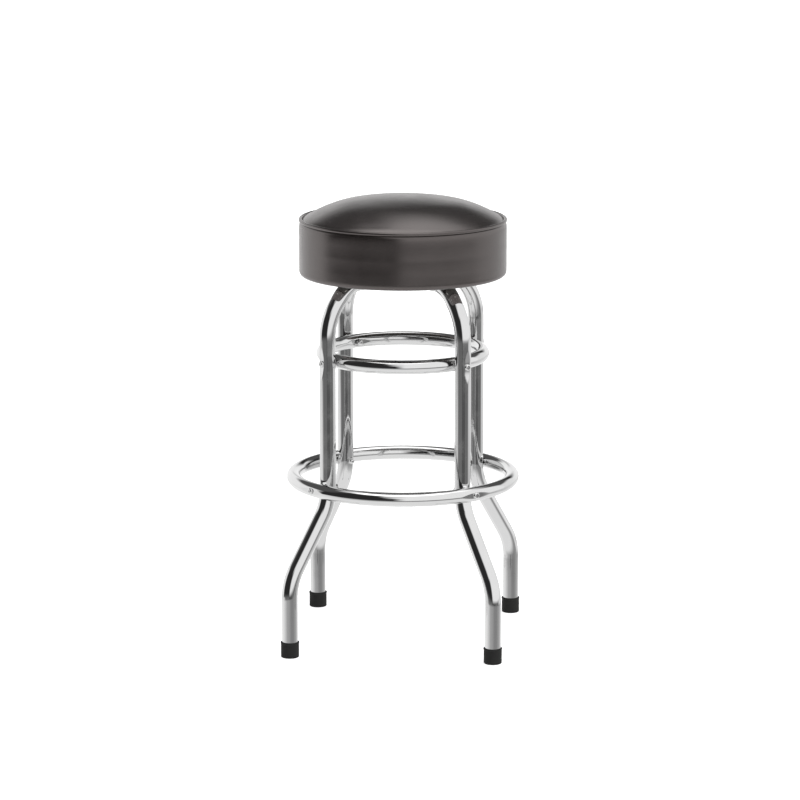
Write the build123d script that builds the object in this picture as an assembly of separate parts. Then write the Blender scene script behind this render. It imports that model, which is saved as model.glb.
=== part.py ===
"""Bar stool: chromed tube legs with two rings, a ball-bearing swivel and a round padded seat.

Millimetres. The origin is on the floor on the stool's axis, +Z is up, and the four legs stand on the
diagonals between the X and Y axes.
"""
from build123d import *
from build123d.topology import SkipClean
import math
import os

# Leg tubes
leg_count = 4
first_leg_azimuth = 45.0
leg_tube_diameter = 28.6
leg_tube_wall = 1.5
bend_radius = 96.0
leg_radius = 169.0
foot_radius = 255.0
arch_height = 656.0
shoulder_drop = 57.5
shoulder_lean = 39.7
top_bend_radius = 60.0
upper_knee_height = 266.8
lower_knee_height = 135.0

# Crossing, where both leg tubes are pressed flat and lie one on the other
pressed_depth = 12.0
pressed_margin = 6.0
press_taper = 16.0

# Rings
ring_tube_diameter = 25.4
ring_tube_wall = 1.2
ring_lengths = 4
foot_ring_height = 294.0
upper_ring_height = 519.0

# Screws and cap nuts that hold the rings to the legs
ring_screw_diameter = 6.0
screw_head_diameter = 11.5
screw_head_height = 3.4
screw_head_rounding = 2.4
recess_width = 1.3
recess_length = 6.0
recess_depth = 1.6
seat_press_depth = 1.3
seat_press_margin = 1.2
cap_nut_flats = 10.0
cap_nut_hex_height = 5.0
cap_nut_dome_height = 4.2
cap_nut_dome_rounding = 3.4
cap_nut_bore_depth = 7.0
screw_tip_gap = 0.6

# Rubber foot caps with a steel disc inside
foot_cap_wall = 1.75
foot_cap_height = 27.8
foot_cap_floor = 5.0
foot_cap_rounding = 1.6
foot_cap_lip_height = 2.4
foot_cap_lip_width = 0.5
foot_washer_thickness = 1.5

# Swivel
swivel_plate_thickness = 2.5
swivel_plate_gap = 4.0
lower_plate_side = 120.0
upper_plate_side = 168.0
plate_corner_radius = 12.0
race_radius = 38.0
ball_diameter = 6.35
ball_count = 16
cage_thickness = 1.2
cage_margin = 2.2
king_rivet_diameter = 14.0
king_rivet_bore = 8.0
king_rivet_flange_diameter = 22.0
king_rivet_flange_thickness = 1.5
plate_screw_edge = 12.6
plate_screw_diameter = 5.0
plate_screw_length = 10.0
plate_screw_head_diameter = 9.5
plate_screw_head_height = 3.0
plate_screw_head_rounding = 1.0

# Bolts up through the leg tubes into thin nuts on the lower swivel plate
plate_bolt_edge = 17.6
plate_bolt_diameter = 6.0
plate_bolt_head_diameter = 11.5
plate_bolt_head_height = 2.6
plate_bolt_head_rounding = 1.6
plate_nut_flats = 10.0
plate_nut_height = 3.2

# Seat
seat_diameter = 369.4
seam_draw_in = 2.85
base_draw_in = 0.4
base_rounding = 7.0
band_height = 98.9
crown_rise = 41.2
crown_radius = 90.0
crown_drop = 6.5
cover_thickness = 1.2
welt_diameter = 6.5
board_edge_inset = 0.7
board_thickness = 12.0
hoop_height = 17.5
hoop_width = 41.0
hem_width = 22.0
hoop_screw_count = 6
hoop_screw_diameter = 4.0
hoop_screw_head_diameter = 8.0
hoop_screw_head_height = 2.4
hoop_screw_length = 24.0
hoop_screw_edge = 7.5
staple_count = 24
staple_width = 11.0
staple_length = 8.0
staple_wire_width = 1.2
staple_wire_thickness = 0.6
staple_edge = 8.0

# Clearances
touch_gap = 0.05
soft_gap = 0.1
hole_gap = 0.2
race_gap = 0.12
pivot_gap = 0.06
flange_gap = 0.2
flange_recess_gap = 1.0
cut_overshoot = 1.0

# Sizes that follow
leg_tube_radius = leg_tube_diameter / 2
ring_tube_radius = ring_tube_diameter / 2
upper_ring_radius = leg_radius - leg_tube_radius - ring_tube_radius - touch_gap
foot_ring_radius = leg_radius + leg_tube_radius + ring_tube_radius + touch_gap
foot_tube_end = foot_cap_floor + foot_washer_thickness
shoulder_height = arch_height - shoulder_drop
shoulder_reach = leg_radius - shoulder_drop * math.tan(math.radians(shoulder_lean))
pressed_half_depth = pressed_depth / 2
pressed_half_width = math.sqrt(2 * leg_tube_radius**2 - pressed_half_depth**2)
pressed_half_length = pressed_half_width + pressed_margin
taper_start = pressed_half_length + press_taper
screw_hole_radius = ring_screw_diameter / 2 + hole_gap
leg_azimuths = [first_leg_azimuth + 360 * k / leg_count for k in range(leg_count)]

lower_plate_bottom = arch_height + leg_tube_radius + touch_gap
lower_plate_top = lower_plate_bottom + swivel_plate_thickness
upper_plate_bottom = lower_plate_top + swivel_plate_gap
upper_plate_top = upper_plate_bottom + swivel_plate_thickness
race_height = lower_plate_top + swivel_plate_gap / 2
plate_bolt_radius = (lower_plate_side / 2 - plate_bolt_edge) * math.sqrt(2)
plate_screw_radius = (upper_plate_side / 2 - plate_screw_edge) * math.sqrt(2)
plate_bolt_seat = arch_height - leg_tube_radius + seat_press_depth
over_crossing = lower_plate_bottom - king_rivet_flange_thickness - flange_gap - pressed_half_depth
under_crossing = over_crossing - pressed_depth - touch_gap

board_bottom = upper_plate_top
board_top = board_bottom + board_thickness
hoop_bottom = board_bottom - hoop_height
seat_bottom = hoop_bottom - cover_thickness
welt_height = seat_bottom + band_height
seat_top = welt_height + crown_rise
seat_radius = seat_diameter / 2
seam_radius = seat_radius - seam_draw_in
board_radius = seat_radius - base_draw_in - base_rounding - board_edge_inset
hoop_inner_radius = board_radius - hoop_width
hem_inner_radius = board_radius - hem_width
hoop_screw_radius = hoop_inner_radius + hoop_screw_edge
staple_radius = hem_inner_radius + staple_edge


def upright(radius, bottom, top, x=0.0, y=0.0):
    """A vertical cylinder between two heights."""
    body = Cylinder(radius, top - bottom, align=(Align.CENTER, Align.CENTER, Align.MIN))
    return Pos(x, y, bottom) * body


def ring_between(inner, outer, bottom, top):
    """A flat-faced ring about the stool's axis."""
    return upright(outer, bottom, top) - upright(inner, bottom - cut_overshoot, top + cut_overshoot)


def outward(shape, azimuth, distance, height):
    """Turns a shape made along +Z to point away from the axis, and puts its base at a distance."""
    return Rot(0, 0, azimuth) * Pos(distance, 0, height) * Rot(0, 90, 0) * shape


def inward(shape, azimuth, distance, height):
    """Turns a shape made along +Z to point at the axis, and puts its base at a distance."""
    return Rot(0, 0, azimuth) * Pos(distance, 0, height) * Rot(0, -90, 0) * shape


def downward(shape, azimuth, distance, height):
    """Turns a shape made along +Z to point down, and puts its base at a height."""
    return Rot(0, 0, azimuth) * Pos(distance, 0, height) * Rot(180, 0, 0) * shape


def around(shape, count, first=0.0):
    """Copies of a shape evenly spaced about the stool's axis."""
    return [Rot(0, 0, first + 360 * k / count) * shape for k in range(count)]


def at_each_leg(shape):
    """Copies of a shape made in the X-Z plane, one at each leg."""
    return around(shape, leg_count, first_leg_azimuth)


def cut_all(shape, tools):
    """A shape with every tool cut from it."""
    for tool in tools:
        shape = shape - tool
    return shape


def write(node, *solids):
    """Writes one named piece, or a group of like pieces, as a STEP file."""
    if len(solids) == 1:
        shape = solids[0]
    else:
        shape = Compound(children=list(solids))
    export_step(shape, f"parts/{node}.step")


def hexagon(flats, height):
    """A hexagonal bar by its width across flats."""
    return extrude(RegularPolygon(flats / math.sqrt(3), 6), height)


# Screws and nuts of the rings, made along +Z with the seat at zero

def press_cutter(margin):
    """The space outside a pressed seat, and a margin round it."""
    return upright(screw_head_diameter / 2 + seat_press_margin + margin, 0, leg_tube_diameter)


def ring_screw(grip):
    """Cross-recess screw: its head stands above zero and its shank reaches down through the grip."""
    head = upright(screw_head_diameter / 2, 0, screw_head_height)
    head = fillet(head.edges().group_by(Axis.Z)[-1], screw_head_rounding)
    for turn in (0, 90):
        slot = Box(recess_length, recess_width, 2 * recess_depth)
        head = head - Pos(0, 0, screw_head_height) * Rot(0, 0, turn) * slot
    tip = grip + cap_nut_bore_depth - screw_tip_gap
    return head + upright(ring_screw_diameter / 2, -tip, 0)


def cap_nut():
    """Domed nut with a blind bore, standing above zero."""
    body = hexagon(cap_nut_flats, cap_nut_hex_height)
    dome = upright(cap_nut_flats / 2 - touch_gap, 0, cap_nut_hex_height + cap_nut_dome_height)
    dome = fillet(dome.edges().group_by(Axis.Z)[-1], cap_nut_dome_rounding)
    bore = upright(ring_screw_diameter / 2 + touch_gap, -cut_overshoot, cap_nut_bore_depth)
    return body + dome - bore


def pressed_tube(outer, inner, wall, seats, holes):
    """A tube's wall, pushed in to a flat seat at each place given, and drilled."""
    for place in seats:
        outer = outer - place(press_cutter(0.0), 0.0)
        inner = inner - place(press_cutter(wall), wall)
    return cut_all(outer, holes) - inner


# Frame

def leg_solid(radius):
    """One leg, its leaning shoulder and its half of the arch as a solid bar, in the X-Z plane."""
    path = FilletPolyline(
        (foot_radius, 0, foot_tube_end),
        (foot_radius, 0, lower_knee_height),
        (leg_radius, 0, upper_knee_height),
        (leg_radius, 0, shoulder_height),
        (shoulder_reach, 0, arch_height),
        (taper_start, 0, arch_height),
        radius=[bend_radius, bend_radius, bend_radius, top_bend_radius],
    )
    start = Plane(origin=(foot_radius, 0, foot_tube_end), z_dir=(0, 0, 1))
    return sweep(start * Circle(radius), path=path)


def crossing_solid(inset, height):
    """The pressed middle of a leg tube and its two tapers, in the X-Z plane."""
    def flat(side):
        plane = Plane(origin=(side * pressed_half_length, 0, height), x_dir=(0, 1, 0), z_dir=(1, 0, 0))
        return plane * Ellipse(pressed_half_width - inset, pressed_half_depth - inset)

    def taper(side):
        plane = Plane(origin=(side * taper_start, 0, arch_height), x_dir=(0, 1, 0), z_dir=(1, 0, 0))
        full = plane * Circle(leg_tube_radius - inset)
        return loft([full, flat(side)], ruled=True)

    middle = extrude(flat(-1), 2 * pressed_half_length, dir=(1, 0, 0))
    return taper(-1) + middle + taper(1)


def leg_tube(azimuth, crossing_height):
    """Two opposite legs and their arch in one hollow tube, with its screw seats and holes."""
    def bar(inset):
        leg = leg_solid(leg_tube_radius - inset)
        return leg + crossing_solid(inset, crossing_height) + Rot(0, 0, 180) * leg

    head_seat = leg_radius + leg_tube_radius - seat_press_depth
    nut_seat = leg_radius - leg_tube_radius + seat_press_depth
    seats = []
    holes = []
    for turn in (0, 180):
        seats.append(lambda tool, deep, turn=turn: outward(tool, turn, head_seat - deep, upper_ring_height))
        seats.append(lambda tool, deep, turn=turn: inward(tool, turn, nut_seat + deep, foot_ring_height))
        seats.append(
            lambda tool, deep, turn=turn: downward(tool, turn, plate_bolt_radius, plate_bolt_seat + deep)
        )
        drill = upright(screw_hole_radius, -leg_tube_diameter, leg_tube_diameter)
        holes.append(outward(drill, turn, leg_radius, upper_ring_height))
        holes.append(outward(drill, turn, leg_radius, foot_ring_height))
        bolt_hole = upright(
            plate_bolt_diameter / 2 + hole_gap,
            arch_height - leg_tube_diameter,
            arch_height + leg_tube_diameter,
            plate_bolt_radius,
        )
        holes.append(Rot(0, 0, turn) * bolt_hole)
    return Rot(0, 0, azimuth) * pressed_tube(bar(0.0), bar(leg_tube_wall), leg_tube_wall, seats, holes)


def ring_bar(radius, height, section_radius):
    """A solid round ring in equal lengths, each with its faces kept apart."""
    start = Plane(origin=(radius, 0, height), z_dir=(0, 1, 0))
    length = revolve(start * Circle(section_radius), Axis.Z, revolution_arc=360 / ring_lengths)
    return length + around(length, ring_lengths)[1:]


def tube_ring(radius, height, seats):
    """A ring bent from round tube, with a screw seat and a hole at each leg."""
    drill = upright(screw_hole_radius, -ring_tube_diameter, ring_tube_diameter)
    holes = [outward(drill, azimuth, radius, height) for azimuth in leg_azimuths]
    with SkipClean():
        outer = ring_bar(radius, height, ring_tube_radius)
        inner = ring_bar(radius, height, ring_tube_radius - ring_tube_wall)
        return pressed_tube(outer, inner, ring_tube_wall, seats, holes)


def upper_ring():
    """Small ring inside the legs: its nuts sit on the inner face."""
    seat = upper_ring_radius - ring_tube_radius + seat_press_depth
    seats = [
        lambda tool, deep, azimuth=azimuth: inward(tool, azimuth, seat + deep, upper_ring_height)
        for azimuth in leg_azimuths
    ]
    return tube_ring(upper_ring_radius, upper_ring_height, seats)


def foot_ring():
    """Footrest ring outside the legs: its screw heads sit on the outer face."""
    seat = foot_ring_radius + ring_tube_radius - seat_press_depth
    seats = [
        lambda tool, deep, azimuth=azimuth: outward(tool, azimuth, seat - deep, foot_ring_height)
        for azimuth in leg_azimuths
    ]
    return tube_ring(foot_ring_radius, foot_ring_height, seats)


def ring_fasteners(head_seat, nut_seat, height):
    """The four screws and four cap nuts that hold one ring to the legs."""
    screw = ring_screw(head_seat - nut_seat)
    screws = [outward(screw, azimuth, head_seat, height) for azimuth in leg_azimuths]
    nuts = [inward(cap_nut(), azimuth, nut_seat, height) for azimuth in leg_azimuths]
    return screws, nuts


def foot_cap():
    """Rubber ferrule with a thin lip, on the stool's axis."""
    bore = leg_tube_radius + touch_gap
    outside = bore + foot_cap_wall
    body = upright(outside, 0, foot_cap_height)
    body = fillet(body.edges().group_by(Axis.Z)[0], foot_cap_rounding)
    lip = upright(outside + foot_cap_lip_width, foot_cap_height - foot_cap_lip_height, foot_cap_height)
    return body + lip - upright(bore, foot_cap_floor, foot_cap_height + cut_overshoot)


def foot_washer():
    """Steel disc between the cap's floor and the tube's end, on the stool's axis."""
    return upright(leg_tube_radius, foot_cap_floor, foot_tube_end)


# Swivel

def square_plate(side, bottom):
    """A square swivel plate with round corners."""
    plate = extrude(RectangleRounded(side, side, plate_corner_radius), swivel_plate_thickness)
    return Pos(0, 0, bottom) * plate


def race():
    """The ring-shaped space that the balls roll in."""
    return Pos(0, 0, race_height) * Torus(race_radius, ball_diameter / 2 + race_gap)


def swivel_lower_plate():
    """Plate bolted to the legs, with the lower ball race."""
    plate = square_plate(lower_plate_side, lower_plate_bottom) - race()
    low = lower_plate_bottom - cut_overshoot
    high = lower_plate_top + cut_overshoot
    rivet_hole = upright(king_rivet_diameter / 2 + touch_gap, low, high)
    bolt_hole = upright(plate_bolt_diameter / 2 + hole_gap, low, high, plate_bolt_radius)
    return cut_all(plate - rivet_hole, at_each_leg(bolt_hole))


def swivel_upper_plate():
    """Plate screwed to the seat board, with the upper ball race."""
    plate = square_plate(upper_plate_side, upper_plate_bottom) - race()
    low = upper_plate_bottom - cut_overshoot
    high = upper_plate_top + cut_overshoot
    rivet_hole = upright(king_rivet_diameter / 2 + pivot_gap, low, high)
    screw_hole = upright(plate_screw_diameter / 2 + hole_gap, low, high, plate_screw_radius)
    return cut_all(plate - rivet_hole, at_each_leg(screw_hole))


def king_rivet():
    """Hollow pin with a flange under the lower plate and one over the upper plate."""
    low = lower_plate_bottom - king_rivet_flange_thickness
    high = upper_plate_top + flange_gap + king_rivet_flange_thickness
    flange = king_rivet_flange_diameter / 2
    pin = upright(king_rivet_diameter / 2, low, high)
    pin = pin + upright(flange, low, lower_plate_bottom)
    pin = pin + upright(flange, high - king_rivet_flange_thickness, high)
    return pin - upright(king_rivet_bore / 2, low - cut_overshoot, high + cut_overshoot)


def swivel_balls():
    """The ring of balls."""
    ball = Pos(race_radius, 0, race_height) * Sphere(ball_diameter / 2)
    return around(ball, ball_count)


def ball_cage():
    """Flat ring with a hole for each ball."""
    half_width = ball_diameter / 2 + cage_margin
    low = race_height - cage_thickness / 2
    high = race_height + cage_thickness / 2
    ring = ring_between(race_radius - half_width, race_radius + half_width, low, high)
    pocket = upright(ball_diameter / 2 + race_gap, low - cut_overshoot, high + cut_overshoot, race_radius)
    return cut_all(ring, around(pocket, ball_count))


def plate_screw():
    """Pan-head screw from below through the upper plate into the board."""
    head_bottom = upper_plate_bottom - plate_screw_head_height
    head = upright(plate_screw_head_diameter / 2, head_bottom, upper_plate_bottom, plate_screw_radius)
    head = fillet(head.edges().group_by(Axis.Z)[0], plate_screw_head_rounding)
    tip = upper_plate_bottom + plate_screw_length
    return head + upright(plate_screw_diameter / 2, upper_plate_bottom, tip, plate_screw_radius)


def plate_bolt():
    """Low-head bolt from a pressed seat under a leg tube up through the lower plate and its nut."""
    head = upright(plate_bolt_head_diameter / 2, -plate_bolt_head_height, 0)
    head = fillet(head.edges().group_by(Axis.Z)[0], plate_bolt_head_rounding)
    for turn in (0, 90):
        slot = Box(recess_length, recess_width, 2 * recess_depth)
        head = head - Pos(0, 0, -plate_bolt_head_height) * Rot(0, 0, turn) * slot
    grip = lower_plate_top + plate_nut_height - plate_bolt_seat
    bolt = head + upright(plate_bolt_diameter / 2, 0, grip)
    return Pos(plate_bolt_radius, 0, plate_bolt_seat) * bolt


def plate_nut():
    """Thin hexagon nut on top of the lower plate."""
    nut = hexagon(plate_nut_flats, plate_nut_height)
    bore = upright(plate_bolt_diameter / 2 + touch_gap, -cut_overshoot, plate_nut_height + cut_overshoot)
    return Pos(plate_bolt_radius, 0, lower_plate_top) * (nut - bore)


# Seat, from half sections drawn as distance from the axis and height

def cushion_section(inset):
    """The seat's outer form, crowned on top and drawn in at the seam, shrunk by an inset."""
    crown = TangentArc((0, seat_top), (crown_radius, seat_top - crown_drop), tangent=(1, 0))
    shoulder = TangentArc(crown @ 1, (seam_radius, welt_height), tangent=crown % 1)
    middle = (welt_height + seat_bottom) / 2
    base_corner = (seat_radius - base_draw_in, seat_bottom)
    band = ThreePointArc(shoulder @ 1, (seat_radius, middle), base_corner)
    base = Line(base_corner, (0, seat_bottom))
    axis = Line((0, seat_bottom), (0, seat_top))
    half = make_face([crown, shoulder, band, base, axis])
    half = fillet(half.vertices().sort_by_distance(base_corner)[0], base_rounding)
    if inset:
        whole = half + mirror(half, Plane.YZ)
        half = offset(whole, -inset, kind=Kind.INTERSECTION) & layer(0, seat_top)
    return half


def layer(low, high):
    """A half section that fills everything between two heights."""
    return Pos(seat_radius, (low + high) / 2) * Rectangle(2 * seat_radius, high - low)


def welt_section(radius):
    """The piping's round section."""
    return Pos(seam_radius, welt_height) * Circle(radius)


def cover_section():
    """The vinyl cover's section, with the piping's channel left open."""
    whole = cushion_section(0.0) - cushion_section(cover_thickness)
    return whole - welt_section(welt_diameter / 2 + touch_gap)


def filling_section():
    """All the space inside the cover."""
    return cushion_section(cover_thickness + soft_gap) - welt_section(welt_diameter / 2 + touch_gap)


def turned(section):
    """The solid that a half section makes about the stool's axis."""
    return revolve(Plane.XZ * section, Axis.Z)


def seat_top_panel():
    """Crowned vinyl panel inside the piping."""
    return turned(cover_section() & layer(welt_height, seat_top))


def seat_welt():
    """Piping sewn in between the panel and the band."""
    return turned(welt_section(welt_diameter / 2))


def seat_side_band(staples):
    """Vinyl band from the piping down, turned under the hoop and stapled there."""
    under_hoop = Pos(hem_inner_radius / 2, seat_bottom) * Rectangle(hem_inner_radius, 2 * hoop_height)
    return cut_all(turned((cover_section() & layer(0, welt_height)) - under_hoop), staples)


def seat_foam():
    """Crowned foam block on the board."""
    return turned(filling_section() & layer(board_top, seat_top))


def edge_padding():
    """Foam strip round the board and the hoop."""
    core = Pos(board_radius / 2, seat_bottom) * Rectangle(board_radius, 2 * band_height)
    return turned((filling_section() & layer(hoop_bottom, board_top)) - core)


def seat_board(screws):
    """Plywood disc with screw holes and a recess over the king rivet."""
    board = upright(board_radius, board_bottom, board_top)
    depth = flange_gap + king_rivet_flange_thickness + flange_recess_gap
    recess = upright(king_rivet_flange_diameter / 2 + flange_recess_gap, board_bottom, board_bottom + depth)
    return cut_all(board - recess, screws)


def seat_hoop(tools):
    """Plywood ring that makes the seat's deep rim."""
    return cut_all(ring_between(hoop_inner_radius, board_radius, hoop_bottom, board_bottom), tools)


def hoop_screw(grow):
    """Countersunk screw up through the hoop into the board, grown for its own hole."""
    radius = hoop_screw_diameter / 2 + grow
    head = hoop_screw_head_diameter / 2 + grow
    cone = Cone(head, radius, hoop_screw_head_height, align=(Align.CENTER, Align.CENTER, Align.MIN))
    shank = upright(radius, 0, hoop_screw_length + grow)
    return Pos(hoop_screw_radius, 0, hoop_bottom) * (cone + shank)


def plate_screw_hole():
    """The hole in the board for a swivel plate screw."""
    tip = upper_plate_bottom + plate_screw_length + touch_gap
    return upright(plate_screw_diameter / 2 + touch_gap, upper_plate_bottom, tip, plate_screw_radius)


def cover_staple():
    """Staple driven up through the turned-under cover into the hoop."""
    low = seat_bottom - staple_wire_thickness
    crown = Pos(0, 0, low + staple_wire_thickness / 2)
    crown = crown * Box(staple_wire_width, staple_width, staple_wire_thickness)
    leg_offset = (staple_width - staple_wire_thickness) / 2
    staple = crown
    for side in (-1, 1):
        leg = Box(staple_wire_width, staple_wire_thickness, staple_length)
        staple = staple + Pos(0, side * leg_offset, low + staple_length / 2) * leg
    return Pos(staple_radius, 0, 0) * staple


def write_frame():
    """Everything that stands still."""
    write("over_leg_tube", leg_tube(leg_azimuths[0], over_crossing))
    write("under_leg_tube", leg_tube(leg_azimuths[1], under_crossing))
    write("upper_ring", upper_ring())
    write("foot_ring", foot_ring())
    leg_outer = leg_radius + leg_tube_radius - seat_press_depth
    leg_inner = leg_radius - leg_tube_radius + seat_press_depth
    ring_inner = upper_ring_radius - ring_tube_radius + seat_press_depth
    ring_outer = foot_ring_radius + ring_tube_radius - seat_press_depth
    screws, nuts = ring_fasteners(leg_outer, ring_inner, upper_ring_height)
    write("upper_ring_screws", *screws)
    write("upper_ring_nuts", *nuts)
    screws, nuts = ring_fasteners(ring_outer, leg_inner, foot_ring_height)
    write("foot_ring_screws", *screws)
    write("foot_ring_nuts", *nuts)
    caps = at_each_leg(Pos(foot_radius, 0, 0) * foot_cap())
    for corner, cap in zip(["rear_right", "rear_left", "front_left", "front_right"], caps):
        write(f"foot_cap_{corner}", cap)
    write("foot_cap_washers", *at_each_leg(Pos(foot_radius, 0, 0) * foot_washer()))
    write("swivel_lower_plate", swivel_lower_plate())
    write("swivel_king_rivet", king_rivet())
    write("plate_bolts", *at_each_leg(plate_bolt()))
    write("plate_nuts", *at_each_leg(plate_nut()))


def write_bearing():
    """The balls and their cage."""
    write("swivel_balls", *swivel_balls())
    write("swivel_ball_cage", ball_cage())


def write_seat():
    """Everything that turns with the seat."""
    staples = around(cover_staple(), staple_count)
    hoop_holes = around(hoop_screw(touch_gap), hoop_screw_count)
    plate_holes = at_each_leg(plate_screw_hole())
    write("swivel_upper_plate", swivel_upper_plate())
    write("swivel_plate_screws", *at_each_leg(plate_screw()))
    write("seat_board", seat_board(plate_holes + hoop_holes))
    write("seat_hoop", seat_hoop(staples + hoop_holes))
    write("hoop_screws", *around(hoop_screw(0.0), hoop_screw_count))
    write("cover_staples", *staples)
    write("edge_padding", edge_padding())
    write("seat_foam", seat_foam())
    write("seat_top_panel", seat_top_panel())
    write("seat_welt", seat_welt())
    write("seat_side_band", seat_side_band(staples))


os.makedirs("parts", exist_ok=True)
write_frame()
write_bearing()
write_seat()
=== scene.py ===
"""A chromed bar stool with a round padded swivel seat, dressed over its CAD frame.

Metres. The origin is on the floor on the stool's axis, +Z is up, and the legs stand on the diagonals.
"""
import math

import bpy
import numpy as np
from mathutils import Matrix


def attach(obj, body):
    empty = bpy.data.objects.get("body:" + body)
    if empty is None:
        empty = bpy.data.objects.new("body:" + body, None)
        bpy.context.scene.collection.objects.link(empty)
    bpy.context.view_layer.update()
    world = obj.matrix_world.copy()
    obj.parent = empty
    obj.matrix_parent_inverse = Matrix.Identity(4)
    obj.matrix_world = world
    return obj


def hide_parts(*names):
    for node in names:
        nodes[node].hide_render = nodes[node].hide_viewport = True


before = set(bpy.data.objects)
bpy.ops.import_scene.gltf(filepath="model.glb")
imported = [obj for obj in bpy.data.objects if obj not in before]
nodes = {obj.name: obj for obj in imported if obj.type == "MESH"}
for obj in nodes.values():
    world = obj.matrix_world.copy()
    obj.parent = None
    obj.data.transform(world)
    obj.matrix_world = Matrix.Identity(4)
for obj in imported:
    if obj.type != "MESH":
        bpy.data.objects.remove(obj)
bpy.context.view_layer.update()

# Frame, as in the CAD
LEG_AZIMUTHS = [45, 135, 225, 315]
LEG_TUBE = 0.0143
LEG_RADIUS = 0.169
FOOT_RADIUS = 0.255
TUBE_END = 0.0065
LOWER_KNEE = 0.135
UPPER_KNEE = 0.2668
ARCH_HEIGHT = 0.656
SHOULDER_DROP = 0.0575
SHOULDER_LEAN = math.radians(39.7)
BEND_RADIUS = 0.096
TOP_BEND_RADIUS = 0.06
PRESSED_HALF_WIDTH = 0.0193
PRESSED_HALF_DEPTH = 0.006
PRESSED_HALF_LENGTH = 0.0253
TAPER_START = 0.0413
OVER_CROSSING = 0.66265
UNDER_CROSSING = 0.6506
RING_TUBE = 0.0127
UPPER_RING = {"radius": 0.14195, "height": 0.519}
FOOT_RING = {"radius": 0.19605, "height": 0.294}
PLATE_BOLT_RADIUS = 0.06

# Screw seats pressed into the tubes: depth, half lengths, and the pressed faces as signs across a tube
SCREW_SEAT_DEPTH = 0.0013
SCREW_SEAT_FLAT = 0.0045
SCREW_SEAT_BLEND = 0.032
LEG_INNER_FACE = 1
LEG_OUTER_FACE = -1
RING_OUTER_FACE = 1
RING_INNER_FACE = -1

# Rubber foot caps
CAP_BORE = 0.01435
CAP_RADIUS = 0.0161
CAP_LIP_RADIUS = 0.0166
CAP_HEIGHT = 0.0278
CAP_LIP = 0.0024
CAP_ROUNDING = 0.0018
CAP_EDGE = 0.0004
LIP_START = -60
TREAD_INNER = 0.0055
TREAD_OUTER = 0.0085
TREAD_DEPTH = 0.0008
SOLE_MIDDLE = 0.0001

# Seat
SEAT_RADIUS = 0.1847
SEAM_RADIUS = 0.18185
WELT_HEIGHT = 0.75955
WELT_RADIUS = 0.00325
SEAT_TOP = 0.80075
SEAT_BOTTOM = 0.66065
CROWN_RADIUS = 0.09
CROWN_DROP = 0.0065
BASE_DRAW_IN = 0.0004
BASE_ROUNDING = 0.007
BASE_START = -10
HEM_INNER = 0.1546
HOOP_BOTTOM = 0.66185
BOARD_RADIUS = 0.1766
BOARD_TOP = 0.69135
LAP = 0.0003
BAND_FULLNESS = 14
TUCK = 0.0012
TUCK_REACH = 0.002
BAND_START = 0.0036
LEDGE_HEIGHT = 0.712
LEDGE_SWELL = 0.0002
LEDGE_REACH = 0.005
STAPLE_LINE = 0.011
PANEL_INSET = 0.0026
PANEL_SINK = 0.0021
PANEL_SINK_REACH = 0.0036

# Cloth
PANEL_SWELL = 0.0015
BAND_SWELL = 0.0006
SWELL_REACH = 0.025
PRESSURE = 4.0
STRETCH_STIFFNESS = 0.6
SHEAR_STIFFNESS = 0.3
CLOTH_FRAMES = 20
LEAST_MOVE = 0.0003

# Mesh fineness
TUBE_SIDES = 72
TUBE_STEP = 0.004
FINE_STEP = 0.0016
STEP_DIGITS = 5
BEND_STEPS = 60
CAP_SIDES = 64
SOLE_STEPS = 9
LIP_STEPS = 4
RIM_STEPS = 5
PANEL_CELLS = 48
BAND_ROWS = 26
BASE_STEPS = 8
WELT_STEPS = 360
WELT_SIDES = 24

# Colour sockets of Blender's mix node
MIX_FIRST = 6
MIX_SECOND = 7
MIX_RESULT = 2

# Camera, with its angles in degrees
CAMERA_PLACE = (0.7362, -6.3453, 1.7214)
CAMERA_DOWN = 11.41
CAMERA_TURN = 6.664
LENS = 163.65
SENSOR_WIDTH = 36
CLIP_END = 200

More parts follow.
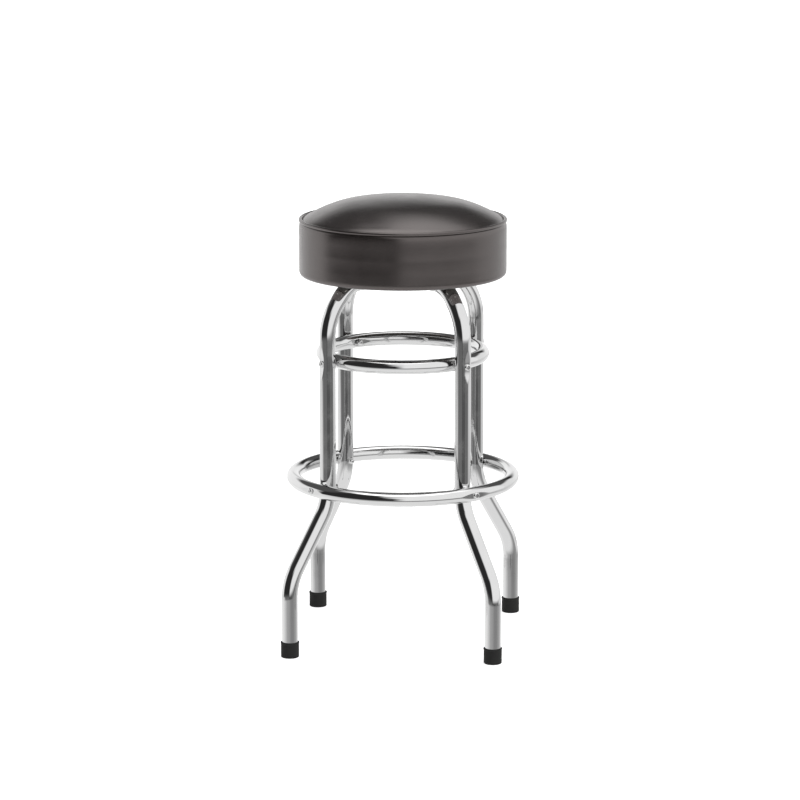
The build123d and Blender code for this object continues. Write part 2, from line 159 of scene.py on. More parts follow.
# Studio, with headings counted from the camera's side and all angles in degrees
STUDIO_TURN = 6.62
WHITE = (1, 1, 1, 1)
ROOM_GLOW = 0.03
FLOOR_GLOW = 0.75
FLOOR_HALF_SIDE = 60
FLOOR_HEIGHT = -0.0003
LIGHTS = {
    "overhead": dict(heading=0, half_width=200, low=64, high=100, strength=2.2, edge_blur=6),
    "overhead_front": dict(heading=-10, half_width=18, low=46, high=100, strength=1.0),
    "overhead_back": dict(heading=146, half_width=42, low=50, high=100, strength=1.6,
                          side_blur=10, edge_blur=12),
    "overhead_left": dict(heading=-130, half_width=32, low=59, high=100, strength=1.3,
                          side_blur=12, edge_blur=8),
    "upper_room": dict(heading=180, half_width=100, low=25, high=100, strength=0.1, side_blur=20),
    "right_wall": dict(heading=60, half_width=64, low=-8.5, high=100, strength=1.1,
                       side_blur=8, edge_blur=4.5),
    "right_upper": dict(heading=23, half_width=37, low=24, high=46, strength=1.1,
                        side_blur=11, edge_blur=7),
    "left_wall": dict(heading=-134, half_width=41, low=-14, high=25, strength=1.1, side_blur=9),
    "corner_wall": dict(heading=128, half_width=24, low=-8, high=26, strength=1.0),
    "back_wall": dict(heading=170, half_width=26, low=-8, high=17, strength=1.05),
    "floor_left": dict(heading=-150, half_width=80, low=-95, high=-10.5, strength=1.0,
                       side_blur=24, edge_blur=1.5),
    "floor_right": dict(heading=150, half_width=68, low=-13.5, high=-6, strength=0.95,
                        side_blur=18, edge_blur=3),
    "floor_front": dict(heading=-8, half_width=90, low=-95, high=-6, strength=0.11),
    "floor_ahead_left": dict(heading=-47, half_width=42, low=-95, high=-8, strength=0.2, side_blur=10),
    "floor_ahead_right": dict(heading=62, half_width=32, low=-95, high=-8, strength=0.2, side_blur=8),
    "floor_round": dict(heading=-150, half_width=110, low=-95, high=-13.3, strength=1.1,
                        side_blur=80, edge_blur=1),
    "floor_sides": dict(heading=-144, half_width=175, low=-95, high=-13.2, strength=0.48,
                        side_blur=60, edge_blur=0.7),
    "floor_near": dict(heading=0, half_width=200, low=-95, high=-13.2, strength=0.31, edge_blur=0.7),
    "floor_below": dict(heading=0, half_width=200, low=-100, high=-19.5, strength=1.0, edge_blur=11.5),
}


def unit(vector):
    """A vector of length one."""
    return vector / np.linalg.norm(vector)


def smooth(low, high, value):
    """A smooth step from 0 at low to 1 at high."""
    t = np.clip((value - low) / (high - low), 0, 1)
    return t * t * (3 - 2 * t)


def round_angles(count):
    """Even angles right round a circle."""
    return np.linspace(0, 2 * math.pi, count, endpoint=False)


def add_mesh(name, points, faces, material, body, slot, *replaced):
    """A smooth-shaded mesh that rides on a body and stands for CAD nodes."""
    mesh = bpy.data.meshes.new(name)
    mesh.from_pydata([tuple(p) for p in points], [], faces)
    mesh.polygons.foreach_set("use_smooth", [True] * len(mesh.polygons))
    mesh.materials.append(material)
    piece = bpy.data.objects.new(name, mesh)
    bpy.context.scene.collection.objects.link(piece)
    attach(piece, body)
    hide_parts(*replaced)
    return piece


def grid_faces(rows, sides, closed):
    """Quads over rows of points that run right round, with the last row joined to the first if closed."""
    faces = []
    for row in range(rows if closed else rows - 1):
        here = row * sides
        there = (row + 1) % rows * sides
        for k in range(sides):
            after = (k + 1) % sides
            faces.append((here + k, here + after, there + after, there + k))
    return faces


# Chromed tubes

def stations(length, seats):
    """Distances along a tube, close together near each screw seat."""
    marks = [np.linspace(0, length, round(length / TUBE_STEP))]
    for seat, _ in seats:
        marks.append(np.arange(seat - SCREW_SEAT_BLEND, seat + SCREW_SEAT_BLEND, FINE_STEP))
    return np.unique(np.concatenate(marks).round(STEP_DIGITS))


def press_seats(across, marks, seats, radius):
    """Presses a tube's wall flat at each screw seat, less and less along the tube to both sides."""
    for seat, face in seats:
        press = SCREW_SEAT_DEPTH * (1 - smooth(SCREW_SEAT_FLAT, SCREW_SEAT_BLEND, np.abs(marks - seat)))
        across = face * np.minimum(face * across, (radius - press)[:, None])
    return across


def leg_line():
    """Points along a leg tube's bent centre line, as distance from the axis and height."""
    reach = LEG_RADIUS - SHOULDER_DROP * math.tan(SHOULDER_LEAN)
    half = [(FOOT_RADIUS, TUBE_END), (FOOT_RADIUS, LOWER_KNEE), (LEG_RADIUS, UPPER_KNEE)]
    half += [(LEG_RADIUS, ARCH_HEIGHT - SHOULDER_DROP), (reach, ARCH_HEIGHT)]
    corners = np.array(half + [(-r, z) for r, z in reversed(half)])
    bends = [BEND_RADIUS] * 3 + [TOP_BEND_RADIUS] * 2 + [BEND_RADIUS] * 3
    line = [corners[0]]
    for before, corner, after, bend in zip(corners, corners[1:], corners[2:], bends):
        coming = unit(corner - before)
        going = unit(after - corner)
        turn = math.acos(coming @ going)
        inside = unit(going - coming * (coming @ going))
        start = corner - coming * bend * math.tan(turn / 2)
        centre = start + inside * bend
        for angle in np.linspace(0, turn, BEND_STEPS):
            line.append(centre + bend * (math.sin(angle) * coming - math.cos(angle) * inside))
    line.append(corners[-1])
    return np.array(line)


def leg_seats(line, reached):
    """Screw seats of a leg tube: the distance of each along it, and its face."""
    rising = line[:len(line) // 2, 1]
    ring_screw = np.interp(UPPER_RING["height"], rising, reached[:len(rising)])
    ring_nut = np.interp(FOOT_RING["height"], rising, reached[:len(rising)])
    plate_bolt = np.interp(-PLATE_BOLT_RADIUS, -line[:, 0], reached)
    seats = [(ring_screw, LEG_OUTER_FACE), (ring_nut, LEG_INNER_FACE), (plate_bolt, LEG_INNER_FACE)]
    return seats + [(reached[-1] - seat, face) for seat, face in seats]


def leg_tube(name, azimuth, crossing, material):
    """Two opposite legs and their arch in one tube, pressed flat where the two tubes cross."""
    line = leg_line()
    reached = np.concatenate([[0], np.cumsum(np.linalg.norm(np.diff(line, axis=0), axis=1))])
    seats = leg_seats(line, reached)
    marks = stations(reached[-1], seats)
    path = np.stack([np.interp(marks, reached, line[:, k]) for k in (0, 1)], axis=1)
    tangent = np.gradient(path, marks, axis=0)
    tangent /= np.linalg.norm(tangent, axis=1)[:, None]
    in_arch = path[:, 1] > ARCH_HEIGHT - LEG_TUBE
    pressed = in_arch * (1 - smooth(PRESSED_HALF_LENGTH, TAPER_START, np.abs(path[:, 0])))
    path[:, 1] += pressed * (crossing - ARCH_HEIGHT)
    depth = LEG_TUBE + pressed * (PRESSED_HALF_DEPTH - LEG_TUBE)
    width = LEG_TUBE + pressed * (PRESSED_HALF_WIDTH - LEG_TUBE)
    angle = round_angles(TUBE_SIDES)
    points = np.empty((len(marks), TUBE_SIDES, 3))
    across = press_seats(depth[:, None] * np.cos(angle), marks, seats, LEG_TUBE)
    points[:, :, 0] = path[:, 0, None] - across * tangent[:, 1, None]
    points[:, :, 1] = width[:, None] * np.sin(angle)
    points[:, :, 2] = path[:, 1, None] + across * tangent[:, 0, None]
    points = points.reshape(-1, 3)
    turn = math.radians(azimuth)
    spun = points.copy()
    spun[:, 0] = points[:, 0] * math.cos(turn) - points[:, 1] * math.sin(turn)
    spun[:, 1] = points[:, 0] * math.sin(turn) + points[:, 1] * math.cos(turn)
    faces = grid_faces(len(marks), TUBE_SIDES, False)
    faces.append(tuple(range(TUBE_SIDES - 1, -1, -1)))
    faces.append(tuple(range((len(marks) - 1) * TUBE_SIDES, len(marks) * TUBE_SIDES)))
    add_mesh(name + "_chrome", spun, faces, material, "frame", "chrome_tube", name)


def tube_ring(name, ring, face, material):
    """A ring of tube with a screw seat at each leg, pressed into one face."""
    length = 2 * math.pi * ring["radius"]
    seats = [(length * azimuth / 360, face) for azimuth in LEG_AZIMUTHS]
    marks = stations(length, seats)[:-1]
    turn = marks / ring["radius"]
    angle = round_angles(TUBE_SIDES)
    reach = ring["radius"] + press_seats(RING_TUBE * np.cos(angle), marks, seats, RING_TUBE)
    points = np.empty((len(marks), TUBE_SIDES, 3))
    points[:, :, 0] = np.cos(turn)[:, None] * reach
    points[:, :, 1] = np.sin(turn)[:, None] * reach
    points[:, :, 2] = ring["height"] + RING_TUBE * np.sin(angle)
    faces = grid_faces(len(marks), TUBE_SIDES, True)
    add_mesh(name + "_chrome", points.reshape(-1, 3), faces, material, "frame", "chrome_tube", name)


# Foot caps

def lathe(profile, sides):
    """Points and faces of a profile of distance and height turned about the axis."""
    profile = np.array(profile)
    angle = round_angles(sides)
    points = np.empty((len(profile), sides, 3))
    points[:, :, 0] = profile[:, 0, None] * np.cos(angle)
    points[:, :, 1] = profile[:, 0, None] * np.sin(angle)
    points[:, :, 2] = profile[:, 1, None]
    return points.reshape(-1, 3), grid_faces(len(profile), sides, False)


def arc(centre, radius, start, end, steps):
    """Points on an arc of a profile, between two angles in degrees."""
    angles = np.radians(np.linspace(start, end, steps))
    return [(centre[0] + radius * math.cos(a), centre[1] + radius * math.sin(a)) for a in angles]


def cap_profile():
    """Half section of a rubber foot cap, from the middle of its sole up over the lip and down its bore."""
    lip_bottom = CAP_HEIGHT - CAP_LIP
    lip_edge = CAP_LIP_RADIUS - CAP_EDGE
    rim = CAP_HEIGHT - CAP_EDGE
    profile = [(SOLE_MIDDLE, 0), (TREAD_INNER - CAP_EDGE, 0), (TREAD_INNER, CAP_EDGE)]
    profile += [(TREAD_INNER + CAP_EDGE, TREAD_DEPTH), (TREAD_OUTER - CAP_EDGE, TREAD_DEPTH)]
    profile += [(TREAD_OUTER, CAP_EDGE), (TREAD_OUTER + CAP_EDGE, 0)]
    profile += arc((CAP_RADIUS - CAP_ROUNDING, CAP_ROUNDING), CAP_ROUNDING, -90, 0, SOLE_STEPS)
    profile += [(CAP_RADIUS, CAP_ROUNDING + CAP_EDGE), (CAP_RADIUS, CAP_HEIGHT / 2)]
    profile += [(CAP_RADIUS, lip_bottom - 2 * CAP_EDGE), (CAP_RADIUS, lip_bottom - CAP_EDGE)]
    profile += arc((lip_edge, lip_bottom + CAP_EDGE / 2), CAP_EDGE, LIP_START, 0, LIP_STEPS)
    profile += arc((lip_edge, rim), CAP_EDGE, 0, 90, RIM_STEPS)
    profile += arc((CAP_BORE + CAP_EDGE, rim), CAP_EDGE, 90, 180, RIM_STEPS)
    profile += [(CAP_BORE, CAP_HEIGHT - 3 * CAP_EDGE), (CAP_BORE, TUBE_END)]
    return profile


def foot_caps(material):
    """The four rubber ferrules."""
    points, faces = lathe(cap_profile(), CAP_SIDES)
    corners = ["rear_right", "rear_left", "front_left", "front_right"]
    for corner, azimuth in zip(corners, LEG_AZIMUTHS):
        turn = math.radians(azimuth)
        place = np.array([FOOT_RADIUS * math.cos(turn), FOOT_RADIUS * math.sin(turn), 0])
        node = "foot_cap_" + corner
        add_mesh(node + "_rubber", points + place, faces, material, "frame", "foot_rubber", node)


# Seat

def crown_height(distance):
    """Height of the crowned panel at a distance from the axis: a flat middle arc and a tighter shoulder."""
    middle = (CROWN_RADIUS**2 + CROWN_DROP**2) / (2 * CROWN_DROP)
    lean = math.asin(CROWN_RADIUS / middle)
    joint = np.array([CROWN_RADIUS, SEAT_TOP - CROWN_DROP])
    normal = np.array([math.sin(lean), math.cos(lean)])
    chord = np.array([SEAM_RADIUS, WELT_HEIGHT]) - joint
    shoulder = -(chord @ chord) / (2 * (chord @ normal))
    centre = joint - shoulder * normal
    inner = SEAT_TOP - middle + np.sqrt(middle**2 - np.minimum(distance, CROWN_RADIUS)**2)
    outer = centre[1] + np.sqrt(shoulder**2 - (np.maximum(distance, CROWN_RADIUS) - centre[0])**2)
    return np.where(distance < CROWN_RADIUS, inner, outer)


def panel_grid(edge):
    """A round panel of even cells: points of a square grid drawn out to a disc, and its rim in order."""
    line = np.linspace(-1, 1, PANEL_CELLS + 1)
    u, v = np.meshgrid(line, line, indexing="ij")
    flat = np.stack([u * np.sqrt(1 - v**2 / 2), v * np.sqrt(1 - u**2 / 2)], axis=2).reshape(-1, 2) * edge
    number = np.arange((PANEL_CELLS + 1)**2).reshape(PANEL_CELLS + 1, -1)
    faces = []
    for i in range(PANEL_CELLS):
        for j in range(PANEL_CELLS):
            faces.append((number[i, j], number[i + 1, j], number[i + 1, j + 1], number[i, j + 1]))
    rim = np.concatenate([number[:-1, 0], number[-1, :-1], number[:0:-1, -1], number[0, :0:-1]])
    return flat, faces, rim


def band_profile():
    """Half section of the seat's side, from the tuck under the piping down, under and up over the board."""
    middle = (WELT_HEIGHT + SEAT_BOTTOM) / 2
    top = WELT_HEIGHT - BAND_START
    bottom = SEAT_BOTTOM + BASE_ROUNDING
    base = SEAT_RADIUS - BASE_DRAW_IN
    profile = [(SEAM_RADIUS - 2 * TUCK, WELT_HEIGHT - TUCK), (SEAM_RADIUS - TUCK, WELT_HEIGHT - 2 * TUCK)]
    for height in np.linspace(top, bottom, BAND_ROWS):
        rise = (height - middle) / (WELT_HEIGHT - middle)
        drawn_in = (SEAT_RADIUS - SEAM_RADIUS if rise > 0 else BASE_DRAW_IN) * abs(rise)**BAND_FULLNESS
        tuck = TUCK * math.exp(-((top - height) / TUCK_REACH)**2)
        ledge = LEDGE_SWELL * math.exp(-((height - LEDGE_HEIGHT) / LEDGE_REACH)**2)
        profile.append((SEAT_RADIUS - drawn_in - tuck + ledge, height))
    profile += arc((base - BASE_ROUNDING, bottom), BASE_ROUNDING, BASE_START, -90, BASE_STEPS)
    profile += [(HEM_INNER + STAPLE_LINE, SEAT_BOTTOM), (HEM_INNER + LAP, SEAT_BOTTOM)]
    profile += [(HEM_INNER, SEAT_BOTTOM + LAP), (HEM_INNER, HOOP_BOTTOM - LAP)]
    profile += [(BOARD_RADIUS + LAP, HOOP_BOTTOM - LAP), (BOARD_RADIUS + LAP, BOARD_TOP + LAP)]
    profile += [(BOARD_RADIUS / 2, BOARD_TOP + LAP)]
    return profile


def swell(piece, give):
    """Starts the cushion a little slack and lets air pressure fill it as cloth, held at its seams and hem."""
    full = np.empty(3 * len(give))
    normals = np.empty(3 * len(give))
    piece.data.vertices.foreach_get("co", full)
    piece.data.vertices.foreach_get("normal", normals)
    slack = full.reshape(-1, 3) - give[:, None] * normals.reshape(-1, 3)
    piece.data.vertices.foreach_set("co", slack.ravel())
    pins = piece.vertex_groups.new(name="held")
    pins.add([int(k) for k in np.flatnonzero(give == 0)], 1.0, "REPLACE")
    cloth = piece.modifiers.new("cloth", "CLOTH")
    cloth.settings.vertex_group_mass = "held"
    cloth.settings.use_pressure = True
    cloth.settings.uniform_pressure_force = PRESSURE
    cloth.settings.effector_weights.gravity = 0
    cloth.settings.tension_stiffness = STRETCH_STIFFNESS
    cloth.settings.compression_stiffness = STRETCH_STIFFNESS
    cloth.settings.shear_stiffness = SHEAR_STIFFNESS
    for step in range(1, CLOTH_FRAMES + 1):
        bpy.context.scene.frame_set(step)
    filled = piece.evaluated_get(bpy.context.evaluated_depsgraph_get())
    moved = np.empty(3 * len(give))
    filled.data.vertices.foreach_get("co", moved)
    moved = moved.reshape(-1, 3) - slack
    piece.modifiers.remove(cloth)
    bpy.context.scene.frame_set(1)
    length = np.maximum(np.linalg.norm(moved, axis=1), LEAST_MOVE)
    moved *= np.minimum(1, give / length)[:, None]
    piece.data.vertices.foreach_set("co", (slack + moved).ravel())


def subdivide(piece):
    """Smooths a mesh by one subdivision, worked into it."""
    finer = piece.modifiers.new("finer", "SUBSURF")
    finer.levels = 1
    mesh = bpy.data.meshes.new_from_object(piece.evaluated_get(bpy.context.evaluated_depsgraph_get()))
    piece.modifiers.remove(finer)
    piece.data = mesh


def cushion(material):
    """The padded seat: crowned panel, side band and turned-under hem in one closed form."""
    edge = SEAM_RADIUS - PANEL_INSET
    flat, faces, rim = panel_grid(edge)
    away = np.linalg.norm(flat, axis=1)
    height = crown_height(away) - PANEL_SINK * np.exp(-((edge - away) / PANEL_SINK_REACH)**2)
    points = [np.column_stack([flat, height])]
    give = [PANEL_SWELL * smooth(0, SWELL_REACH, edge - away)]
    turn = np.arctan2(flat[rim, 1], flat[rim, 0])
    sides = len(rim)
    first = len(flat)
    profile = band_profile()
    for reach, level in profile:
        points.append(np.column_stack([reach * np.cos(turn), reach * np.sin(turn), np.full(sides, level)]))
        held = min(WELT_HEIGHT - BAND_START - level, level - SEAT_BOTTOM - BASE_ROUNDING)
        on_side = reach > BOARD_RADIUS + LAP
        give.append(np.full(sides, BAND_SWELL * smooth(0, SWELL_REACH, held) * on_side))
    rows = grid_faces(len(profile), sides, False)
    faces += [tuple(first + k for k in face[::-1]) for face in rows]
    for k in range(sides):
        after = (k + 1) % sides
        faces.append((rim[after], rim[k], first + k, first + after))
    faces.append(tuple(first + (len(profile) - 1) * sides + k for k in range(sides)))
    replaced = ["seat_top_panel", "seat_foam", "edge_padding", "seat_side_band"]
    piece = add_mesh("seat_cushion", np.concatenate(points), faces, material, "seat", "seat_vinyl", *replaced)
    swell(piece, np.concatenate(give))
    subdivide(piece)


def welt(material):
    """The piping round the seat's top edge."""
    turn = round_angles(WELT_STEPS)
    angle = round_angles(WELT_SIDES)
    reach = SEAM_RADIUS + WELT_RADIUS * np.cos(angle)
    points = np.empty((WELT_STEPS, WELT_SIDES, 3))
    points[:, :, 0] = np.cos(turn)[:, None] * reach
    points[:, :, 1] = np.sin(turn)[:, None] * reach
    points[:, :, 2] = WELT_HEIGHT + WELT_RADIUS * np.sin(angle)
    faces = grid_faces(WELT_STEPS, WELT_SIDES, True)
    add_mesh("seat_piping", points.reshape(-1, 3), faces, material, "seat", "seat_vinyl", "seat_welt")


# Materials

def new_material(name, colour, metallic, roughness):
    """A principled material, its node tree and its shader."""
    material = bpy.data.materials.new(name)
    material.use_nodes = True
    shader = material.node_tree.nodes["Principled BSDF"]
    shader.inputs["Base Color"].default_value = (*colour, 1)
    shader.inputs["Metallic"].default_value = metallic
    shader.inputs["Roughness"].default_value = roughness
    return material, material.node_tree, shader


def noise(tree, scale, detail, stretch=None):
    """Noise in object space, stretched along an axis if asked for."""
    place = tree.nodes.new("ShaderNodeTexCoord")
    texture = tree.nodes.new("ShaderNodeTexNoise")
    texture.inputs["Scale"].default_value = scale
    texture.inputs["Detail"].default_value = detail
    source = place.outputs["Object"]
    if stretch:
        mapping = tree.nodes.new("ShaderNodeMapping")
        mapping.inputs["Scale"].default_value = stretch
        tree.links.new(source, mapping.inputs["Vector"])
        source = mapping.outputs["Vector"]
    tree.links.new(source, texture.inputs["Vector"])
    return texture.outputs["Fac"]


def spread(tree, value, low, high, to_low, to_high):
    """A value mapped smoothly from one range to another."""
    node = tree.nodes.new("ShaderNodeMapRange")
    node.interpolation_type = "SMOOTHSTEP"
    for socket, number in zip(("From Min", "From Max", "To Min", "To Max"), (low, high, to_low, to_high)):
        node.inputs[socket].default_value = number
    tree.links.new(value, node.inputs["Value"])
    return node.outputs["Result"]


def tint(tree, value, dark, light):
    """A colour between two, picked by a value."""
    node = tree.nodes.new("ShaderNodeMix")
    node.data_type = "RGBA"
    node.inputs[MIX_FIRST].default_value = (*dark, 1)
    node.inputs[MIX_SECOND].default_value = (*light, 1)
    tree.links.new(value, node.inputs["Factor"])
    return node.outputs[MIX_RESULT]


def bump(tree, shader, value, strength, distance, below=None):
    """Bumps from a value, over earlier bumps if there are any."""
    node = tree.nodes.new("ShaderNodeBump")
    node.inputs["Strength"].default_value = strength
    node.inputs["Distance"].default_value = distance
    tree.links.new(value, node.inputs["Height"])
    if below:
        tree.links.new(below, node.inputs["Normal"])
    tree.links.new(node.outputs["Normal"], shader.inputs["Normal"])
    return node.outputs["Normal"]


def coat(tree, shader, colour, roughness):
    """Feeds a shader its colour and its roughness."""
    tree.links.new(colour, shader.inputs["Base Color"])
    tree.links.new(roughness, shader.inputs["Roughness"])


def chrome():
    """Polished chrome with faint haze and fine wiping marks."""
    material, tree, shader = new_material("chrome", colour=(0.69, 0.69, 0.69), metallic=1.0, roughness=0.06)
    haze = noise(tree, scale=35, detail=4)
    roughness = spread(tree, haze, low=0.35, high=0.75, to_low=0.035, to_high=0.11)
    colour = tint(tree, haze, dark=(0.66, 0.66, 0.665), light=(0.715, 0.715, 0.71))
    coat(tree, shader, colour, roughness)
    bump(tree, shader, noise(tree, scale=900, detail=2), strength=0.02, distance=0.0002)
    return material


def zinc():
    """Dull plated steel with a faint yellow cast in places."""
    material, tree, shader = new_material("zinc_steel", colour=(0.5, 0.5, 0.49), metallic=1.0, roughness=0.4)
    mottle = noise(tree, scale=160, detail=5)
    colour = tint(tree, mottle, dark=(0.42, 0.41, 0.38), light=(0.58, 0.58, 0.56))
    roughness = spread(tree, mottle, low=0.3, high=0.7, to_low=0.3, to_high=0.5)
    coat(tree, shader, colour, roughness)
    bump(tree, shader, noise(tree, scale=1200, detail=2), strength=0.1, distance=0.0002)
    return material


def enamel():
    """Black stove enamel, rubbed a little in places."""
    material, tree, shader = new_material("swivel_paint", colour=(0.02, 0.02, 0.02),
                                          metallic=0.0, roughness=0.4)
    rub = noise(tree, scale=60, detail=6)
    worn = spread(tree, rub, low=0.55, high=0.75, to_low=0, to_high=1)
    colour = tint(tree, worn, dark=(0.016, 0.016, 0.017), light=(0.05, 0.05, 0.05))
    roughness = spread(tree, rub, low=0.3, high=0.7, to_low=0.3, to_high=0.5)
    coat(tree, shader, colour, roughness)
    bump(tree, shader, noise(tree, scale=700, detail=3), strength=0.15, distance=0.0003)
    return material


def rubber():
    """Matte black rubber with mould grain and a dusty bloom."""
    material, tree, shader = new_material("foot_rubber", colour=(0.02, 0.02, 0.02),
                                          metallic=0.0, roughness=0.7)
    shader.inputs["Specular IOR Level"].default_value = 0.22
    bloom = noise(tree, scale=120, detail=5)
    colour = tint(tree, bloom, dark=(0.008, 0.008, 0.008), light=(0.020, 0.020, 0.019))
    roughness = spread(tree, bloom, low=0.3, high=0.7, to_low=0.6, to_high=0.8)
    coat(tree, shader, colour, roughness)
    bump(tree, shader, noise(tree, scale=1500, detail=3), strength=0.2, distance=0.0002)
    return material


def plywood():
    """Plywood darkened to near black as painted shade under the seat: long face grain showing through, and
    fine glue lines in the edge.
    """
    # The near-black base colour is painted shade for the underside of the seat.
    material, tree, shader = new_material("plywood", colour=(0.02, 0.018, 0.016), metallic=0.0, roughness=0.6)
    grain = noise(tree, scale=14, detail=8, stretch=(1.2, 14, 10))
    place = tree.nodes.new("ShaderNodeTexCoord")
    plies = tree.nodes.new("ShaderNodeTexWave")
    plies.bands_direction = "Z"
    plies.inputs["Scale"].default_value = 105
    plies.inputs["Distortion"].default_value = 0.4
    tree.links.new(place.outputs["Object"], plies.inputs["Vector"])
    # The grain picks between two near-black colours: real grain, darkened as painted shade under the seat.
    painted_shade_grain = tint(tree, grain, dark=(0.010, 0.009, 0.008), light=(0.040, 0.034, 0.028))
    glue_line = spread(tree, plies.outputs["Fac"], low=0.0, high=0.25, to_low=0.55, to_high=1.0)
    shade = tree.nodes.new("ShaderNodeVectorMath")
    shade.operation = "SCALE"
    tree.links.new(painted_shade_grain, shade.inputs["Vector"])
    tree.links.new(glue_line, shade.inputs["Scale"])
    roughness = spread(tree, grain, low=0.3, high=0.7, to_low=0.5, to_high=0.75)
    coat(tree, shader, shade.outputs["Vector"], roughness)
    bump(tree, shader, grain, strength=0.2, distance=0.0006)
    return material


def vinyl():
    """Warm charcoal vinyl with a fine leather grain, soft broad wrinkles and an even half gloss."""
    material, tree, shader = new_material("seat_vinyl", colour=(0.016, 0.0135, 0.0127),
                                          metallic=0.0, roughness=0.25)
    shader.inputs["IOR"].default_value = 1.95
    shader.inputs["Specular Tint"].default_value = (1, 0.9, 0.88, 1)
    place = tree.nodes.new("ShaderNodeTexCoord")
    cells = tree.nodes.new("ShaderNodeTexVoronoi")
    cells.feature = "DISTANCE_TO_EDGE"
    cells.inputs["Scale"].default_value = 900
    tree.links.new(place.outputs["Object"], cells.inputs["Vector"])
    grain = spread(tree, cells.outputs["Distance"], low=0.0, high=0.25, to_low=0, to_high=1)
    cloud = noise(tree, scale=22, detail=2)
    colour = tint(tree, cloud, dark=(0.013, 0.011, 0.0102), light=(0.0185, 0.016, 0.0152))
    roughness = spread(tree, cloud, low=0.3, high=0.7, to_low=0.23, to_high=0.27)
    coat(tree, shader, colour, roughness)
    broad = bump(tree, shader, noise(tree, scale=26, detail=2), strength=0.04, distance=0.002)
    bump(tree, shader, grain, strength=0.03, distance=0.00008, below=broad)
    return material


def dress(material, *names):
    """Gives CAD nodes that stay in sight a finished material."""
    for name in names:
        node = nodes[name]
        node.data.materials.clear()
        node.data.materials.append(material)


# Studio

def maths(tree, operation, first, second):
    """One sum on sockets or numbers."""
    node = tree.nodes.new("ShaderNodeMath")
    node.operation = operation
    for socket, value in zip(node.inputs, (first, second)):
        if isinstance(value, (int, float)):
            socket.default_value = value
        else:
            tree.links.new(value, socket)
    return node.outputs["Value"]


def window(tree, value, low, high, soft):
    """1 between two limits and 0 outside, with soft edges."""
    rise = spread(tree, value, low - soft, low + soft, 0, 1)
    fall = spread(tree, value, high - soft, high + soft, 1, 0)
    return maths(tree, "MULTIPLY", rise, fall)


def softbox(tree, direction, heading, half_width, low, high, strength, side_blur=5, edge_blur=5):
    """A lit patch of the studio, its strength within soft limits of heading and height, in degrees."""
    turn = tree.nodes.new("ShaderNodeVectorRotate")
    turn.rotation_type = "Z_AXIS"
    turn.inputs["Angle"].default_value = -math.radians(STUDIO_TURN) - math.radians(heading)
    tree.links.new(direction, turn.inputs["Vector"])
    parts = tree.nodes.new("ShaderNodeSeparateXYZ")
    tree.links.new(turn.outputs["Vector"], parts.inputs["Vector"])
    ahead = maths(tree, "MULTIPLY", parts.outputs["Y"], -1)
    bearing = maths(tree, "ARCTAN2", parts.outputs["X"], ahead)
    lift = maths(tree, "ARCSINE", parts.outputs["Z"], 0)
    half = math.radians(half_width)
    wide = window(tree, bearing, -half, half, math.radians(side_blur))
    tall = window(tree, lift, math.radians(low), math.radians(high), math.radians(edge_blur))
    return maths(tree, "MULTIPLY", maths(tree, "MULTIPLY", wide, tall), strength)


def studio_light():
    """Soft studio surroundings: lit panels in a dim room, but plain white where the camera sees them."""
    world = bpy.data.worlds.new("studio")
    bpy.context.scene.world = world
    world.use_nodes = True
    tree = world.node_tree
    direction = tree.nodes.new("ShaderNodeTexCoord").outputs["Generated"]
    total = maths(tree, "ADD", ROOM_GLOW, 0.0)
    for light in LIGHTS.values():
        total = maths(tree, "MAXIMUM", total, softbox(tree, direction, **light))
    room = tree.nodes["Background"]
    tree.links.new(total, room.inputs["Strength"])
    room.inputs["Color"].default_value = WHITE
    plain = tree.nodes.new("ShaderNodeBackground")
    plain.inputs["Color"].default_value = WHITE
    rays = tree.nodes.new("ShaderNodeLightPath")
    mix = tree.nodes.new("ShaderNodeMixShader")
    tree.links.new(rays.outputs["Is Camera Ray"], mix.inputs["Fac"])
    tree.links.new(room.outputs["Background"], mix.inputs[1])
    tree.links.new(plain.outputs["Background"], mix.inputs[2])
    tree.links.new(mix.outputs["Shader"], tree.nodes["World Output"].inputs["Surface"])


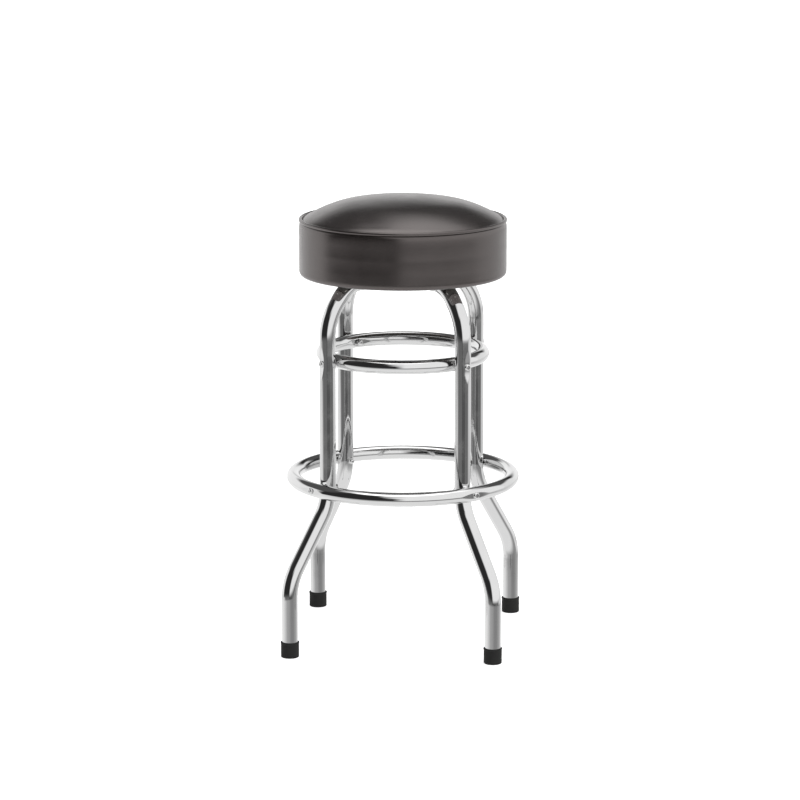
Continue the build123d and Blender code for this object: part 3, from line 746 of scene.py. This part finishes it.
def studio_floor():
    """A pale floor. Reflections look through it to the lower half of the studio."""
    material, _, shader = new_material("pale_floor", colour=(0.9, 0.9, 0.9), metallic=0.0, roughness=0.9)
    shader.inputs["Specular IOR Level"].default_value = 0.0
    shader.inputs["Emission Color"].default_value = WHITE
    shader.inputs["Emission Strength"].default_value = FLOOR_GLOW
    mesh = bpy.data.meshes.new("floor")
    corners = [(-1, -1), (1, -1), (1, 1), (-1, 1)]
    points = [(x * FLOOR_HALF_SIDE, y * FLOOR_HALF_SIDE, FLOOR_HEIGHT) for x, y in corners]
    mesh.from_pydata(points, [], [(0, 1, 2, 3)])
    mesh.materials.append(material)
    floor = bpy.data.objects.new("floor", mesh)
    bpy.context.scene.collection.objects.link(floor)
    floor.visible_glossy = False


def camera():
    """The photograph's viewpoint."""
    data = bpy.data.cameras.new("camera")
    data.sensor_width = SENSOR_WIDTH
    data.lens = LENS
    data.clip_end = CLIP_END
    view = bpy.data.objects.new("camera", data)
    view.location = CAMERA_PLACE
    view.rotation_euler = (math.radians(90 - CAMERA_DOWN), 0, math.radians(CAMERA_TURN))
    bpy.context.scene.collection.objects.link(view)
    bpy.context.scene.camera = view


bright = chrome()
steel = zinc()
black = enamel()
feet = rubber()
wood = plywood()
skin = vinyl()

leg_tube("over_leg_tube", LEG_AZIMUTHS[0], OVER_CROSSING, bright)
leg_tube("under_leg_tube", LEG_AZIMUTHS[1], UNDER_CROSSING, bright)
tube_ring("upper_ring", UPPER_RING, RING_INNER_FACE, bright)
tube_ring("foot_ring", FOOT_RING, RING_OUTER_FACE, bright)
foot_caps(feet)
cushion(skin)
welt(skin)
dress(bright, "upper_ring_screws", "upper_ring_nuts", "foot_ring_screws", "foot_ring_nuts")
dress(steel, "foot_cap_washers", "swivel_king_rivet", "plate_bolts", "plate_nuts", "swivel_balls")
dress(steel, "swivel_ball_cage", "swivel_plate_screws", "hoop_screws", "cover_staples")
dress(black, "swivel_lower_plate", "swivel_upper_plate")
dress(wood, "seat_board", "seat_hoop")
studio_light()
studio_floor()
camera()
bpy.context.scene.view_settings.view_transform = "Standard"
